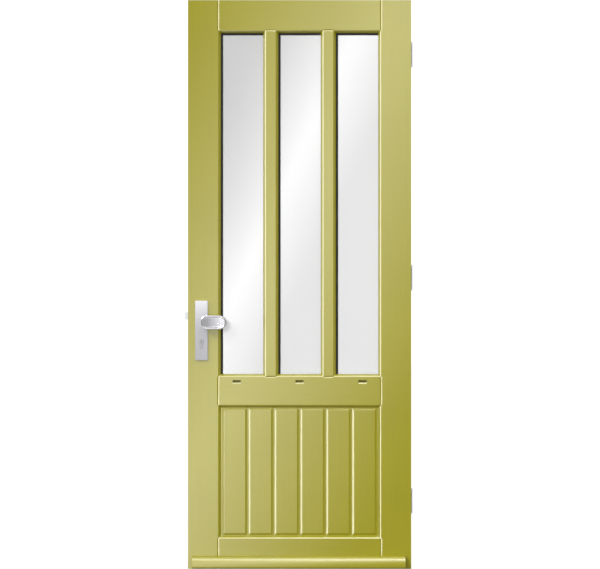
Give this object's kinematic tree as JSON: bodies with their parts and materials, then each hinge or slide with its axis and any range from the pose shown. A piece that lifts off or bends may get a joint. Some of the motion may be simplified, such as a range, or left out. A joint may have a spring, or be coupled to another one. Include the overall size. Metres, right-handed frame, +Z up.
{
  "type": "front door",
  "caption": "Painted timber front door leaf with tall glazed panes over a boarded panel, weatherboard, fixed outer pull, inner lever, mortise lock and butt hinges that swing it inwards",
  "frame": {"origin": "middle of the leaf's bottom edge, on its mid-plane", "axes": "+X to the right seen from outside, towards the hinges; -Y out of the house; +Z up"},
  "size_m": [0.8505, 0.156, 2.115],
  "materials": {
    "olive_paint": "satin olive paint on timber",
    "clear_glass": "clear float glass",
    "black_rubber": "black edge seal and glazing rubber",
    "anodised_aluminium": "satin anodised",
    "nickel_brass": "satin nickel plate",
    "bright_steel": "zinc plated and brushed",
    "beech": "plain turned dowel"
  },
  "bodies": {
    "frame_side": {"frame_flap_top": "bright_steel", "frame_flap_middle": "bright_steel", "frame_flap_bottom": "bright_steel", "hinge_pins": "bright_steel"},
    "leaf": {"lock_stile": "olive_paint", "hinge_stile": "olive_paint", "top_rail": "olive_paint", "lock_rail": "olive_paint", "bottom_rail": "olive_paint", "muntin_left": "olive_paint", "muntin_right": "olive_paint", "panel_board_1": "olive_paint", "panel_board_2": "olive_paint", "panel_board_3": "olive_paint", "panel_board_4": "olive_paint", "panel_board_5": "olive_paint", "panel_board_6": "olive_paint", "weatherboard": "olive_paint", "glazing_beads_left": "olive_paint", "glazing_beads_middle": "olive_paint", "glazing_beads_right": "olive_paint", "outer_pane_left": "clear_glass", "outer_pane_middle": "clear_glass", "outer_pane_right": "clear_glass", "inner_pane_left": "clear_glass", "inner_pane_middle": "clear_glass", "inner_pane_right": "clear_glass", "edge_seal_left": "black_rubber", "edge_seal_middle": "black_rubber", "edge_seal_right": "black_rubber", "outer_seals": "black_rubber", "inner_seals": "black_rubber", "setting_blocks": "black_rubber", "outer_plate": "anodised_aluminium", "pull": "anodised_aluminium", "inner_plate": "anodised_aluminium", "cylinder_body": "nickel_brass", "plate_bolts": "bright_steel", "cylinder_screw": "bright_steel", "lock_case": "bright_steel", "forend": "bright_steel", "lock_screws": "bright_steel", "latch_spring": "bright_steel", "hinge_screws": "bright_steel", "leaf_flap_top": "bright_steel", "leaf_flap_middle": "bright_steel", "leaf_flap_bottom": "bright_steel", "dowels": "beech"},
    "lever_set": {"lever": "anodised_aluminium", "lever_screw": "bright_steel", "spindle": "bright_steel", "follower": "bright_steel"},
    "latch": {"latch_bolt": "bright_steel"},
    "key_core": {"outer_plug": "nickel_brass", "inner_plug": "nickel_brass", "cylinder_cam": "bright_steel"},
    "bolt": {"deadbolt": "bright_steel"}
  },
  "joints": [
    {"name": "door_swing", "type": "hinge", "parent": "frame_side", "child": "leaf", "pos_m": [0.4165, 0.035, 0], "axis": [0, 0, -1], "range_deg": [0, 110]},
    {"name": "lever_turn", "type": "hinge", "parent": "leaf", "child": "lever_set", "pos_m": [-0.365, 0, 0.917], "axis": [0, 1, 0], "range_deg": [0, 40], "stiffness_Nm_per_rad": 1.5, "springref_deg": -17.19},
    {"name": "latch_slide", "type": "slide", "parent": "leaf", "child": "latch", "axis": [1, 0, 0], "range_m": [0, 0.012], "deforming": ["latch_spring"]},
    {"name": "key_turn", "type": "hinge", "parent": "leaf", "child": "key_core", "pos_m": [-0.365, 0, 0.845], "axis": [0, 1, 0], "range_deg": [0, 360]},
    {"name": "deadbolt_slide", "type": "slide", "parent": "leaf", "child": "bolt", "axis": [-1, 0, 0], "range_m": [0, 0.02]}
  ],
  "couplings": [
    {"joint": "latch_slide", "follows": "lever_turn", "m_per_rad": 0.01718},
    {"joint": "key_turn", "follows": "deadbolt_slide", "rad_per_m": 314.16}
  ]
}
